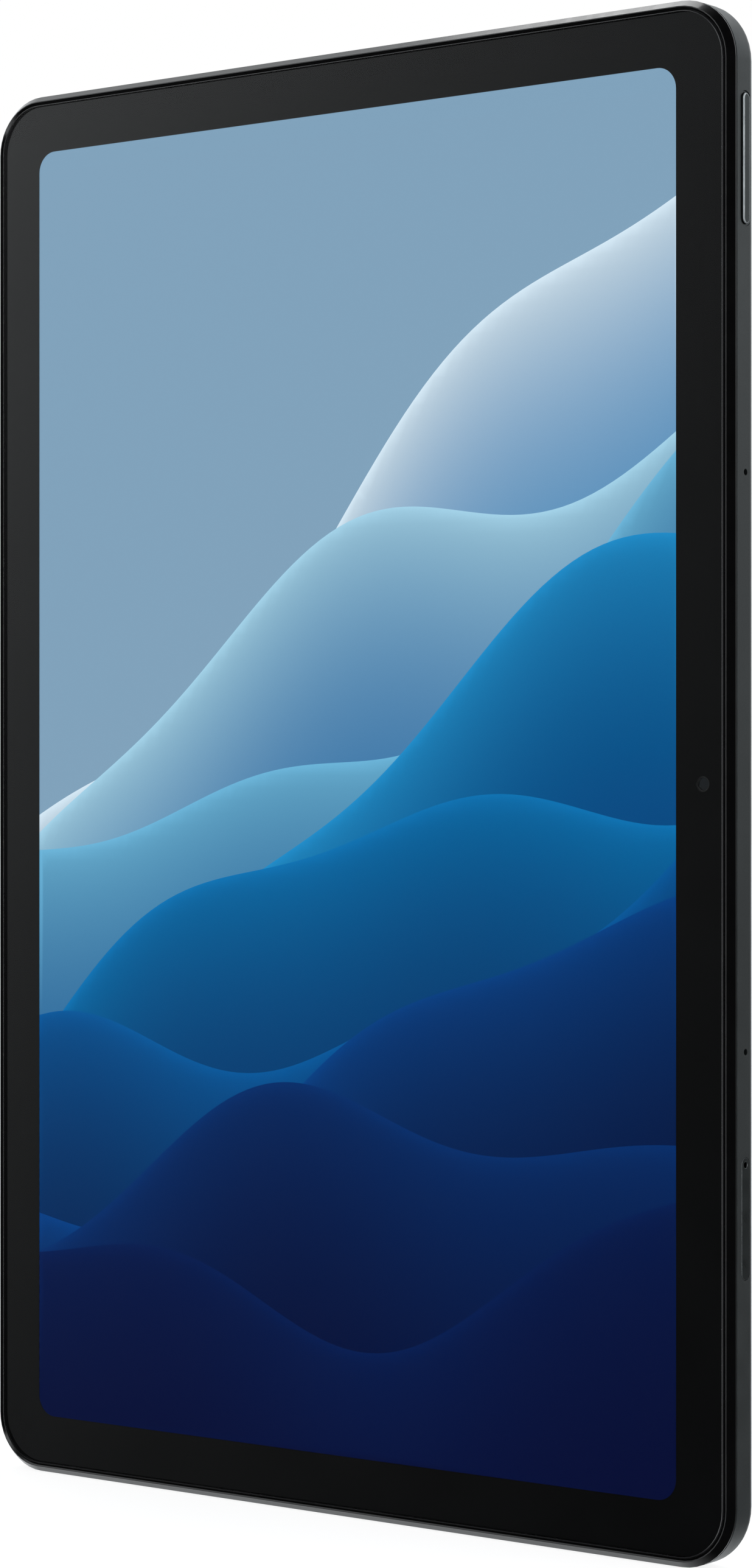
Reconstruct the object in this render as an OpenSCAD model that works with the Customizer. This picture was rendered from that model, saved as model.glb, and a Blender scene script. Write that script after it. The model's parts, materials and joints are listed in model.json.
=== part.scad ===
// Tablet computer of the 10.4 inch class, held upright in portrait.
// X runs across the screen, Z up its long side and Y from the screen to the back.
// The origin is the middle of the body. Depths are counted from the front of the glass.

/* [Body] */
// Width of the body
body_w = 157.4; // [152:0.1:164]
// Height of the body
body_h = 248.1; // [242:0.1:256]
// Thickness of the body without the camera ring
body_t = 7.4; // [7.4:0.1:8.2]
// Radius of the four outer corners
corner_r = 10; // [9:0.5:12]
// Radius of the back edge
back_edge_r = 2.1; // [1:0.1:2.2]
// Thickness of the side walls
wall = 1.3; // [1.2:0.05:1.4]
// Thickness of the back panel
back_panel = 0.8; // [0.8:0.1:1]
// Width of the plastic antenna strip along one long side
strip_w = 21; // [20:0.5:23]

/* [Screen] */
// Width of the lit display area
display_w = 136.6; // [132:0.1:137]
// Height of the lit display area
display_h = 227.6; // [222:0.1:228]
// How far the display area's middle lies to the right of the body's
display_x = -0.3; // [-0.4:0.1:0.4]
// Corner radius of the lit display area
display_r = 3.6; // [2:0.1:5]
// Thickness of the cover glass
glass_t = 0.55; // [0.5:0.05:0.6]
// Distance from the body's edge to the glass
glass_inset = 1.6; // [1.5:0.05:1.8]

/* [Side features] */
// Depth of the line that the keys, tray and ports lie on
side_depth = 4.15; // [4.1:0.05:4.2]
// Height of the volume rocker's middle
rocker_z = 98.5; // [90:0.1:100]
// Length of the volume rocker
rocker_l = 20.6; // [18:0.1:22]
// Width of the volume rocker and the power key
key_w = 1.7; // [1.6:0.05:1.9]
// How far the keys stand out of the wall
key_proud = 0.26; // [0.22:0.02:0.4]
// Height of the upper microphone hole
mic_top_z = 49.1; // [40:0.1:60]
// Height of the lower microphone hole
mic_low_z = -42.2; // [-50:0.1:-35]
// Height of the card tray's middle
tray_z = -68.45; // [-72:0.05:-66]
// Length of the card tray's faceplate
tray_l = 19.3; // [19:0.1:20]
// Place of the power key along the top edge
power_x = 44; // [38:0.5:46]
// Length of the power key
power_l = 12; // [10:0.5:14]

/* [Hidden] */
$fn = 48;

half_w = body_w / 2;
half_h = body_h / 2;
glass_w = body_w - 2 * glass_inset;
glass_h = body_h - 2 * glass_inset;
glass_r = corner_r - glass_inset;
inner_w = half_w - wall;          // half width between the inner wall faces
inner_h = half_h - wall;          // half height between the inner wall faces
panel_in = body_t - back_panel;   // depth of the back panel's inner face
seam = 0.08;                      // line between the housing and its plastic strip
strip_x = half_w - strip_w;       // where the strip begins

// depths of the front frame's section
lip_d = 0.05;
lip_w = 0.15;                     // flat crest of the lip
lip_slope = 0.3;                  // bevel from the crest down towards the glass
lip_gap = 0.15;
chamfer_w = glass_inset - lip_gap - lip_slope - lip_w;
chamfer_d = 1.2;
groove_top = 1.42;
rim_d = 1.6;
groove_in = 0.3;
skirt_d = 2.45;

// depths of the display stack
print_t = 0.04;
oca_d = glass_t + print_t;
lcd_d = 0.7;
lcd_t = 0.75;
films_d = 1.5;
guide_d = 1.7;
reflector_d = 2.2;
tray_floor_d = 2.3;
tray_back_d = 2.5;
plate_d = 2.55;
plate_back_d = 3.05;
lcd_w = display_w + 3.8;
lcd_h = display_h + 7;
lcd_drop = 1.5;                   // the panel reaches further below the picture than above it

// depths of the boards
board_d = 5.2;
board_back_d = 6;
cell_d = 3.25;
cell_back_d = 6.35;

// places of the modules
cell_w = 57;
cell_h = 180;
cell_left_x = -45;
cell_right_x = 15;
cell_z = -2;
board_x = 61.5;                   // middle of the main board's long strip
board_w = 28;
speaker_x = -52;
speaker_w = 42;
speaker_h = 20;
speaker_z = inner_h - 0.6 - speaker_h / 2;
camera_x = 66.2;
camera_z = 110.8;
flash_z = 97;
front_camera_x = half_w - 5.75;
screw_places = [for (sx = [-1, 1], z = [-112, -55, 58, 112]) [sx * (half_w - 4.45), z]];
standoff_places = [[50.5, 80], [50.5, 30], [50.5, -30], [72, -82.5], [73.2, 72], [-14, 116]];
sub_standoff_places = [[-20, -112], [38.5, -114]];

// card tray and its ejector
tray_depth = 24.5;                // how far the carrier reaches in from the faceplate
tray_t = 1;
face_t = 1.45;
face_w = 2.2;
carrier_w = 16.4;
face_back_x = half_w - face_t;
carrier_end_x = 52;
hole_z = tray_z + tray_l / 2 - 1.2;
carrier_z = hole_z - 1.2 - carrier_w / 2;
eject_hole_r = 0.5;
lever_x = 50.85;
lever_z = hole_z - 4.5;
lever_w = 1.4;
tray_gap = 0.08;                  // gap all round the tray's faceplate

// keys, with depths counted inwards from the inner face of the wall
key_gap = 0.1;                    // gap all round a key in its slot
dish_d = 0.2;                     // dish that a key stands in
dish_w = 3.3;
dish_floor_w = 1.95;
flange_t = 0.4;
power_flange = 0.1;
power_post = 1.1;
rocker_flange = 0.35;             // room for the far end to rise as the near end is pressed
rocker_post = 1.25;
rocker_pin_r = 0.35;              // round rib across the bracket that the rocker tilts on
rocker_axis = rocker_flange + flange_t + 0.05 + rocker_pin_r;
dome_top = 1.52;
switch_base = 2.15;
flex_base = 2.4;
bracket_base = 2.8;
post_pitch = 7;                   // from the rocker's middle to each of its posts

// USB-C receptacle, from the connector standard
usb_w = 8.94;
usb_t = 3.16;
usb_wall = 0.3;
usb_l = 9.6;

// ---------------------------------------------------------------- helpers

// Extrudes a shape drawn in X and Z from depth d0 to depth d1.
module slab(d0, d1) {
    translate([0, d1 - body_t / 2, 0]) rotate([90, 0, 0]) linear_extrude(d1 - d0) children();
}

module rrect(w, h, r) {
    square([w - 2 * r, h], center = true);
    square([w, h - 2 * r], center = true);
    for (x = [-1, 1], z = [-1, 1])
        translate([x * (w / 2 - r), z * (h / 2 - r)]) circle(r);
}

// A box between two depths, given its middle and size in X and Z.
module block(x, z, w, h, d0, d1) {
    slab(d0, d1) translate([x, z]) square([w, h], center = true);
}

// A round disc or post between two depths.
module disc(x, z, r, d0, d1) {
    slab(d0, d1) translate([x, z]) circle(r);
}

// Slot outline with round ends, l long in all and w wide, along the second axis.
module stadium(l, w) {
    square([w, l - w], center = true);
    for (s = [-1, 1]) translate([0, s * (l - w) / 2]) circle(w / 2);
}

// Carries a section round a rounded rectangle. In the section, x is 0 on the outline and
// negative inside it, and y is the depth.
module sweep_round(w, h, r) {
    starts = [[1, 1, 270], [1, -1, 0], [-1, -1, 90], [-1, 1, 180]];
    for (s = starts)
        translate([s[0] * (w / 2 - r), -body_t / 2, s[1] * (h / 2 - r)])
            rotate([-90, 0, 0]) rotate([0, 0, s[2]])
                rotate_extrude(angle = 90) translate([r, 0]) children();
    for (m = [0, 1]) {
        mirror([m, 0, 0]) translate([w / 2, -body_t / 2, r - h / 2])
            linear_extrude(h - 2 * r) children();
        mirror([0, 0, m]) translate([w / 2 - r, -body_t / 2, h / 2]) rotate([0, -90, 0])
            linear_extrude(w - 2 * r) children();
    }
}

// Stands on the right-hand wall: the children's first axis is depth from the side line
// and their second is height. They reach from x0 to x1.
module on_right(x0, x1, z) {
    translate([x0, side_depth - body_t / 2, z]) rotate([0, 90, 0]) rotate([0, 0, 90])
        linear_extrude(x1 - x0) children();
}

// Stands on the top wall: first axis along X, second axis depth from the side line.
module on_top(z0, z1, x) {
    translate([x, side_depth - body_t / 2, z0]) linear_extrude(z1 - z0) children();
}

// ---------------------------------------------------------------- casing

// Wall and back edge of the metal tub, with the back panel's outer band.
module tub_section() {
    edge = 0.15;
    difference() {
        polygon([[-edge, rim_d], [0, rim_d + edge], [0, body_t], [-corner_r, body_t],
            [-corner_r, panel_in], [-wall, panel_in], [-wall, rim_d]]);
        translate([-back_edge_r, body_t - back_edge_r]) difference() {
            square(back_edge_r + 1);
            circle(back_edge_r);
        }
    }
}

module tub() {
    sweep_round(body_w, body_h, corner_r) tub_section();
    slab(panel_in, body_t) square([body_w - 2 * corner_r, body_h - 2 * corner_r], center = true);
}

// Row of sound slots in a short wall, seen from outside.
module sound_slots() {
    for (i = [-4 : 4]) translate([i * 3.4, 0]) rotate([0, 0, 90]) stadium(2.4, 1.1);
}

// Shapes cut out of the tub's walls and back.
module tub_openings() {
    // volume rocker: a through slot in a shallow dish
    on_right(half_w - 3, half_w + 1, rocker_z)
        stadium(rocker_l + 2 * key_gap, key_w + 2 * key_gap);
    at_rocker() key_dish(rocker_l);
    // card tray
    on_right(half_w - 3, half_w + 1, tray_z) stadium(tray_l + 2 * tray_gap, face_w + 2 * tray_gap);
    // microphones
    for (z = [mic_top_z, mic_low_z]) on_right(half_w - 3, half_w + 1, z) circle(0.52);
    // power key
    on_top(half_h - 3, half_h + 1, power_x) rotate([0, 0, 90])
        stadium(power_l + 2 * key_gap, key_w + 2 * key_gap);
    at_power_key() key_dish(power_l);
    // sound slots at both ends
    for (m = [0, 1]) mirror([0, 0, m]) on_top(half_h - 3, half_h + 1, speaker_x) sound_slots();
    // third microphone, beside the power key
    on_top(half_h - 3, half_h + 1, power_x - 14) circle(0.52);
    // USB-C port
    on_top(-half_h - 1, -half_h + 3, 0) rotate([0, 0, 90])
        stadium(usb_w + 0.16, usb_t + 0.16);
    // camera and flash
    disc(camera_x, camera_z, 5.2, panel_in - 1, body_t + 1);
    disc(camera_x, flash_z, 2.25, panel_in - 1, body_t + 1);
}

// Dish round a key l long, cut from the wall's outer face at z = 0.
module key_dish(l) intersection() {
    translate([0, 0, -1]) linear_extrude(2) stadium(l + 0.8, dish_w);
    rotate([90, 0, 0]) linear_extrude(l + 2, center = true) polygon([
        [-dish_w / 2, 0], [-dish_floor_w / 2, -dish_d], [dish_floor_w / 2, -dish_d],
        [dish_w / 2, 0], [dish_w / 2, 1], [-dish_w / 2, 1]]);
}

module rear_housing() color("#2e3233") difference() {
    intersection() {
        tub();
        translate([-body_w, -body_t, -body_h]) cube([body_w + strip_x, 2 * body_t, 2 * body_h]);
    }
    tub_openings();
}

module antenna_cover() color("#3a3f40") difference() {
    intersection() {
        tub();
        translate([strip_x + seam, -body_t, -body_h]) cube([body_w, 2 * body_t, 2 * body_h]);
    }
    tub_openings();
}

module front_frame() color("#141616") {
    shelf_d = glass_t + 0.2;
    shelf_in = 3.4;
    skirt_in = 2;
    skirt_out = wall + 0.05;
    sweep_round(body_w, body_h, corner_r) polygon([
        [0, groove_top], [0, chamfer_d], [-chamfer_w, lip_d],
        [-chamfer_w - lip_w, lip_d], [lip_gap - glass_inset, lip_d + lip_slope],
        [lip_gap - glass_inset, shelf_d], [-shelf_in, shelf_d], [-shelf_in, groove_top], [-skirt_in, groove_top],
        [-skirt_in, skirt_d], [-skirt_out, skirt_d], [-skirt_out, rim_d],
        [-groove_in, rim_d], [-groove_in, groove_top]]);
    // bosses that the plate screws go into
    for (p = screw_places) difference() {
        disc(p[0], p[1], 2.3, shelf_d, plate_d);
        disc(p[0], p[1], 0.5, shelf_d + 0.4, plate_d + 1);
    }
}

// ---------------------------------------------------------------- glass and display

module cover_glass() color("#202428", 0.4) {
    edge = 0.3;
    sweep_round(glass_w, glass_h, glass_r) difference() {
        translate([-glass_r, 0]) square([glass_r, glass_t]);
        translate([-edge, 0]) difference() {
            translate([0, -1]) square([1, 1 + edge]);
            translate([0, edge]) circle(edge);
        }
    }
    slab(0, glass_t) square([glass_w - 2 * glass_r, glass_h - 2 * glass_r], center = true);
}

module border_print() color("#0c0d0d") slab(glass_t, glass_t + print_t) difference() {
    rrect(glass_w - 0.5, glass_h - 0.5, glass_r - 0.25);
    translate([display_x, 0]) rrect(display_w, display_h, display_r);
    translate([front_camera_x, 0]) circle(1.25);
}

module glass_tape() color("#101010") slab(oca_d, glass_t + 0.2) difference() {
    rrect(glass_w - 0.6, glass_h - 0.6, glass_r - 0.3);
    rrect(body_w - 6.8, body_h - 6.8, corner_r - 3.4);
}

module optical_adhesive() color("#d9e2e6", 0.3) {
    slab(glass_t, oca_d) translate([display_x, 0])
        rrect(display_w - 0.1, display_h - 0.1, display_r);
    slab(oca_d, lcd_d) translate([0, -lcd_drop / 2]) rrect(lcd_w - 1, lcd_h - 1 - lcd_drop, 1.5);
}

module lcd_panel() color("#1c3f66")
    slab(lcd_d, lcd_d + lcd_t) translate([0, -lcd_drop]) rrect(lcd_w, lcd_h, 1.5);

// Ribbon from the panel's lower edge, folded behind the backlight to the sub board.
module display_flex() color("#b5651d") {
    flex_z = -lcd_drop - lcd_h / 2;
    block(20, flex_z - 0.55, 28, 1.1, lcd_d + 0.1, lcd_d + 0.3);
    block(20, flex_z - 1.3, 28, 0.4, lcd_d + 0.1, plate_back_d + 0.35);
    block(20, flex_z + 6.2, 28, 14.6, plate_back_d + 0.15, plate_back_d + 0.35);
    block(20, flex_z + 11, 13, 3, plate_back_d + 0.35, board_d);
}

module backlight_films() color("#e8ecee") {
    for (i = [0 : 2])
        slab(films_d + i * 0.065, films_d + i * 0.065 + 0.06)
            translate([0, -lcd_drop]) square([lcd_w - 1.4, lcd_h - 3.4], center = true);
}

module light_guide() color("#dfeef5", 0.6)
    slab(guide_d, reflector_d - 0.02) translate([0, -lcd_drop + 1])
        square([lcd_w - 1.4, lcd_h - 5.4], center = true);

// Strip of white LEDs on its own thin board, at the light guide's lower edge.
module led_strip() color("#f4f0d8") {
    strip_z = -lcd_drop - lcd_h / 2 + 2.2;
    block(0, strip_z - 0.55, lcd_w - 4, 0.3, guide_d, reflector_d - 0.02);
    for (i = [-14 : 14]) block(i * 4.6, strip_z, 3, 0.8, guide_d, reflector_d - 0.04);
}

module reflector_sheet() color("#f2f4f5")
    slab(reflector_d, tray_floor_d - 0.02) translate([0, -lcd_drop])
        square([lcd_w - 1.4, lcd_h - 3.4], center = true);

module backlight_tray() color("#9aa0a3") difference() {
    slab(films_d - 0.04, tray_back_d) translate([0, -lcd_drop])
        square([lcd_w - 0.4, lcd_h - 1.2], center = true);
    slab(films_d - 1, tray_floor_d) translate([0, -lcd_drop])
        square([lcd_w - 1, lcd_h - 2], center = true);
}

// ---------------------------------------------------------------- chassis and battery

module mid_plate() color("#8b9094") difference() {
    slab(plate_d, plate_back_d) difference() {
        rrect(body_w - 5, body_h - 5, corner_r - 2.5);
        // lightening and cable openings
        translate([-52, speaker_z]) rrect(30, 12, 3);
        translate([-52, -speaker_z]) rrect(30, 12, 3);
        translate([0, -half_h + 7]) square([12, 14], center = true);
        translate([front_camera_x, 0]) square([6, 8], center = true);
        for (z = [60, 74]) translate([60, z]) rrect(16, 9, 2);
        translate([20, -half_h + 3.2]) square([30, 4.4], center = true);
    }
    for (p = screw_places) disc(p[0], p[1], 0.7, plate_d - 1, plate_back_d + 1);
    // holes that locate the plate in assembly
    for (s = [-1, 1]) disc(s * 4, -98, 1.2, plate_d - 1, plate_back_d + 1);
}

// Low-head machine screw, its tip towards the glass.
module screw(x, z, r, head_r, tip_d, seat_d) {
    difference() {
        union() {
            disc(x, z, r, tip_d, seat_d);
            disc(x, z, head_r, seat_d, seat_d + 0.4);
        }
        for (a = [0, 90]) slab(seat_d + 0.15, seat_d + 1) translate([x, z]) rotate(a)
            square([head_r * 1.2, 0.3], center = true);
    }
}

module plate_screws() color("#c9ccce")
    for (p = screw_places) screw(p[0], p[1], 0.48, 1.15, glass_t + 0.7, plate_back_d);

// One pouch cell with its folded side seams and top terrace.
module pouch_cell(x) {
    slab(cell_d, cell_back_d) translate([x, cell_z - 1.5]) rrect(cell_w - 1.2, cell_h - 3, 1.5);
    slab(cell_d + 1.2, cell_d + 1.9) translate([x, cell_z]) rrect(cell_w, cell_h, 0.8);
}

module battery_cell_left() color("#3c4044") pouch_cell(cell_left_x);
module battery_cell_right() color("#3c4044") pouch_cell(cell_right_x);

module battery_board() color("#1f5d3a") {
    z = cell_z + cell_h / 2 + 4.2;
    block(-15, z, 96, 6, cell_d + 1.2, cell_d + 2);
    for (i = [-3 : 3]) block(-15 + i * 12, z, 5, 3, cell_d + 2, cell_d + 2.7);
}

module battery_tape() color("#d6d8d2") for (x = [cell_left_x, cell_right_x], s = [-1, 1])
    block(x + s * 16, cell_z, 12, cell_h - 20, plate_back_d, cell_d);

// Lead from the cells' board to its socket on the main board.
module battery_lead() color("#a3551c") {
    z = cell_z + cell_h / 2 + 4.2;
    block(41.6, z, 17, 5, cell_d + 1.3, cell_d + 1.5);
    block(52, z, 5, 8, cell_d + 1, board_d);
}

// ---------------------------------------------------------------- boards

module board_outline() difference() {
    union() {
        translate([board_x, 17]) square([board_w, 205], center = true);
        translate([24, 109]) square([90, 20], center = true);
    }
    translate([camera_x + 4, camera_z + 2.5]) square([21, 18], center = true);
    translate([face_back_x - 2, tray_z]) square([10, tray_l + 3], center = true);
    translate([half_w - 4, rocker_z]) square([6.4, rocker_l + 8], center = true);
    translate([power_x, half_h - 4.4]) square([power_l + 8, 4.4], center = true);
    translate([front_camera_x, 0]) square([6, 9], center = true);
    for (p = standoff_places) translate(p) circle(0.7);
}

module main_board() color("#12462f") slab(board_d, board_back_d) board_outline();

module board_chips() color("#1a1a1c") {
    chips = [[61, 40, 14, 14], [61, 22, 11.5, 13], [58, 0, 8, 8], [61, -14, 9, 7],
        [56, -29, 6, 6], [20, 108, 9, 9], [34, 108, 7, 7], [0, 108, 6, 8]];
    for (c = chips) block(c[0], c[1], c[2], c[3], board_d - 1, board_d);
    // small parts on the back of the board
    for (i = [0 : 8]) block(52 + (i % 3) * 7, 44 - floor(i / 3) * 16, 3, 1.6,
        board_back_d, board_back_d + 0.45);
}

// Thin tin box over a group of chips, open towards the board.
module shield_can(x, z, w, h) difference() {
    block(x, z, w, h, board_d - 1.5, board_d);
    block(x, z, w - 0.4, h - 0.4, board_d - 1.3, board_d + 1);
}

module shield_cans() color("#b9bec1") {
    shield_can(61, 31, 17, 36);
    shield_can(59, -10, 16, 30);
    shield_can(17, 108, 46, 14);
}

all_standoffs = concat(standoff_places, sub_standoff_places);

module board_standoffs() color("#c2a45c") for (p = all_standoffs) difference() {
    disc(p[0], p[1], 1.5, plate_back_d, board_d);
    disc(p[0], p[1], 0.5, plate_back_d + 0.4, board_d + 1);
}

module board_screws() color("#c9ccce")
    for (p = all_standoffs) screw(p[0], p[1], 0.48, 1.15, plate_back_d + 0.8, board_back_d);

module sub_board() color("#12462f") slab(board_d, board_back_d) difference() {
    translate([9, -half_h + 12]) square([66, 17], center = true);
    translate([0, -half_h + 6]) square([usb_w + 0.4, 12], center = true);
    for (p = sub_standoff_places) translate(p) circle(0.7);
}

// Flat cable between the two boards, along the plate.
module board_link_flex() color("#b5651d") {
    block(49.5, -90, 9, 14, board_d - 0.25, board_d - 0.05);
    block(41, -101.5, 26, 9, board_d - 0.25, board_d - 0.05);
    block(31, -108, 6, 4, board_d - 0.25, board_d - 0.05);
    block(31, -109.5, 7, 3, board_d - 1, board_d - 0.25);
    block(49.5, -82.2, 10, 2.4, board_d - 1, board_d - 0.25);
}

module usb_c_shell() color("#aeb3b6") difference() {
    union() {
        on_top(-half_h + 0.25, -half_h + usb_l, 0) rotate([0, 0, 90]) stadium(usb_w, usb_t);
        // ears soldered to the sub board
        block(0, -half_h + 7, usb_w + 3.4, 2, board_d - 0.3, board_d);
    }
    on_top(-half_h - 1, -half_h + usb_l + 1, 0) rotate([0, 0, 90])
        stadium(usb_w - 2 * usb_wall, usb_t - 2 * usb_wall);
}

module usb_c_tongue() color("#1a1b1c") {
    on_top(-half_h + usb_l - 1.6, -half_h + usb_l, 0) rotate([0, 0, 90])
        stadium(usb_w - 2 * usb_wall, usb_t - 2 * usb_wall);
    on_top(-half_h + 1.6, -half_h + usb_l - 1.6, 0) square([6.7, 0.7], center = true);
    for (i = [-5.5 : 1 : 5.5], s = [-1, 1])
        on_top(-half_h + 2, -half_h + usb_l - 1.6, 0) translate([i * 0.5, s * 0.37])
            square([0.25, 0.04], center = true);
}

// ---------------------------------------------------------------- sound

// Speaker box with a sound channel to the slots and a seat for its driver.
module speaker_box() difference() {
    slab(plate_back_d + 0.15, panel_in - 0.15) translate([speaker_x, speaker_z])
        rrect(speaker_w, speaker_h, 1.5);
    slab(plate_back_d + 1, panel_in + 1) translate([speaker_x, speaker_z - 2])
        rrect(30, 12, 3);
    slab(side_depth - 0.7, side_depth + 0.7) translate([speaker_x, speaker_z + 7])
        square([30, 8], center = true);
}

module top_speaker() color("#202224") speaker_box();
module bottom_speaker() color("#202224") mirror([0, 0, 1]) speaker_box();

// Moving-coil driver: frame, diaphragm roll and dome.
module speaker_driver() {
    d = plate_back_d + 1;
    slab(d, d + 1.4) translate([speaker_x, speaker_z - 2]) rrect(29.6, 11.6, 2.8);
    slab(d + 1.4, d + 1.7) translate([speaker_x, speaker_z - 2]) difference() {
        rrect(28, 10, 2.5);
        rrect(25, 7, 1.5);
    }
    slab(d + 1.4, d + 1.9) translate([speaker_x, speaker_z - 2]) rrect(22, 5, 2);
}

module top_speaker_driver() color("#6b6f72") speaker_driver();
module bottom_speaker_driver() color("#6b6f72") mirror([0, 0, 1]) speaker_driver();

module speaker_meshes() color("#0a0a0a") for (m = [0, 1]) mirror([0, 0, m])
    on_top(inner_h - 0.35, inner_h - 0.05, speaker_x) rotate([0, 0, 90]) stadium(32, 2.4);

// ---------------------------------------------------------------- cameras and flash

module rear_camera() color("#0e0f10") {
    block(camera_x, camera_z, 11.4, 11.4, plate_back_d + 0.4, panel_in - 0.3);
    difference() {
        disc(camera_x, camera_z, 4.1, panel_in - 0.3, body_t - 0.15);
        disc(camera_x, camera_z, 2.4, panel_in, body_t);
    }
    disc(camera_x, camera_z, 2.2, panel_in - 0.1, body_t - 0.5);
    // ribbon onto the main board
    block(camera_x, camera_z - 7.9, 5, 5, board_d - 0.2, board_d);
}

module rear_camera_ring() color("#55595b") difference() {
    union() {
        disc(camera_x, camera_z, 6.2, body_t, body_t + 0.6);
        disc(camera_x, camera_z, 5.1, panel_in + 0.1, body_t);
    }
    disc(camera_x, camera_z, 4.3, panel_in - 1, body_t + 0.1);
    disc(camera_x, camera_z, 5.02, body_t + 0.1, body_t + 1);
}

module rear_camera_glass() color("#0b0c10") disc(camera_x, camera_z, 4.98, body_t + 0.1, body_t + 0.5);

module flash_led() color("#e7d98a") {
    block(camera_x, flash_z, 5, 5, board_back_d, board_back_d + 0.2);
    block(camera_x, flash_z, 1.8, 1.8, board_back_d + 0.2, board_back_d + 0.5);
}

module flash_lens() color("#f1efe6") {
    disc(camera_x, flash_z, 2.2, panel_in - 0.05, body_t);
    disc(camera_x, flash_z, 2.9, panel_in - 0.08, panel_in);
}

module front_camera() color("#0e0f10") difference() {
    union() {
        block(front_camera_x, 0, 4.2, 6, 1.9, 5);
        disc(front_camera_x, 0, 1.7, glass_t + 0.25, 1.9);
        block(front_camera_x - 3.4, 0, 2.8, 3.6, board_d - 0.6, board_d);
    }
    disc(front_camera_x, 0, 1.05, glass_t - 0.1, 1.6);
}

module front_camera_lens() color("#1b2230") disc(front_camera_x, 0, 1, 1.1, 1.6);

module mic_place(i) {
    if (i < 2) translate([inner_w, 0, [mic_top_z, mic_low_z][i]]) children();
    else translate([power_x - 14, 0, inner_h]) rotate([0, -90, 0]) children();
}

module microphones() color("#c7b98c") for (i = [0 : 2]) mic_place(i)
    translate([-4.6, side_depth - 0.4 - body_t / 2, -1.9]) cube([2.9, board_d + 0.35 - side_depth, 3.8]);

// Soft boots that carry sound from the wall's holes to the microphones.
module mic_boots() color("#171717") for (i = [0 : 2]) mic_place(i)
    translate([0, side_depth - body_t / 2, 0]) rotate([0, -90, 0]) difference() {
        cylinder(r = 1.05, h = 1.65);
        translate([0, 0, -1]) cylinder(r = 0.5, h = 4);
    }

// ---------------------------------------------------------------- keys

// Rounded bar that a key shows outside the wall: l long and w wide along the first two
// axes' order of a stadium, and reaching from z0 to z1 with its upper edge rounded.
module rounded_bar(l, w, z0, z1, edge) {
    module section() {
        translate([0, z0]) square([w / 2, z1 - edge - z0]);
        translate([0, z0]) square([w / 2 - edge, z1 - z0]);
        translate([w / 2 - edge, z1 - edge]) circle(edge);
    }
    for (s = [-1, 1]) translate([0, s * (l - w) / 2, 0]) rotate([0, 0, s * 90 - 90])
        rotate_extrude(angle = 180) section();
    rotate([90, 0, 0]) linear_extrude(l - w, center = true) {
        section();
        mirror([1, 0]) section();
    }
}

// A key's cap, and the flange behind the wall that keeps it in. Its third axis points out
// of the wall, from the outer face.
module key_cap(l, flange_depth) {
    rounded_bar(l, key_w, -wall - flange_depth - flange_t / 2, key_proud, 0.24);
    translate([0, 0, -wall - flange_depth - flange_t]) linear_extrude(flange_t)
        stadium(l + 1.4, key_w + 1);
}

// Places its children on the wall at the rocker, with their third axis pointing outwards.
module at_rocker() {
    translate([half_w, side_depth - body_t / 2, rocker_z])
        rotate([0, 90, 0]) rotate([0, 0, 90]) children();
}

module at_power_key() {
    translate([power_x, side_depth - body_t / 2, half_h]) rotate([0, 0, 90]) children();
}

module volume_rocker() color("#3b4041") at_rocker() {
    key_cap(rocker_l, rocker_flange);
    for (s = [-1, 1]) translate([0, s * post_pitch, -wall - rocker_post])
        cylinder(r = 0.7, h = rocker_post - rocker_flange);
}

module power_button() color("#3b4041") at_power_key() {
    key_cap(power_l, power_flange);
    translate([0, 0, -wall - power_post]) cylinder(r = 0.7, h = power_post - power_flange);
}

// Dome switch whose top lies just below a key's post.
module dome_switch() {
    can_top = 1.7;
    translate([-1.05, -1.6, -wall - switch_base]) cube([2.1, 3.2, switch_base - can_top]);
    translate([0, 0, -wall - can_top]) cylinder(r = 0.9, h = can_top - dome_top);
}

module volume_switches() color("#c8ccce") at_rocker()
    for (s = [-1, 1]) translate([0, s * post_pitch, 0]) dome_switch();

module power_switch() color("#c8ccce") at_power_key() dome_switch();

// Steel bracket behind the switches, with a foot at each end.
module key_bracket(l) {
    translate([-1.05, -l / 2, -wall - bracket_base]) cube([2.1, l, bracket_base - flex_base]);
    for (s = [-1, 1]) translate([-1.05, s * (l / 2 - 1) - 1, -wall - bracket_base - 1.4])
        cube([0.4, 2, 1.4]);
}

module volume_bracket() color("#a9aeb1") at_rocker() {
    key_bracket(rocker_l + 4);
    translate([-0.9, -rocker_pin_r, -wall - flex_base])
        cube([1.8, 2 * rocker_pin_r, flex_base - rocker_axis]);
    translate([-0.9, 0, -wall - rocker_axis]) rotate([0, 90, 0]) cylinder(r = rocker_pin_r, h = 1.8);
}

module power_bracket() color("#a9aeb1") at_power_key() key_bracket(power_l + 2);

// Flexible circuits under the keys' switches.
module key_flex() color("#b5651d") {
    flex_t = flex_base - switch_base;
    at_rocker() difference() {
        translate([-1.05, -10, -wall - flex_base]) cube([2.1, 20, flex_t]);
        translate([-1, -0.5, -wall - bracket_base]) cube([2, 1, 2]);
    }
    at_power_key() translate([-1.05, -5, -wall - flex_base]) cube([2.1, 10, flex_t]);
}

// ---------------------------------------------------------------- card tray

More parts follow.
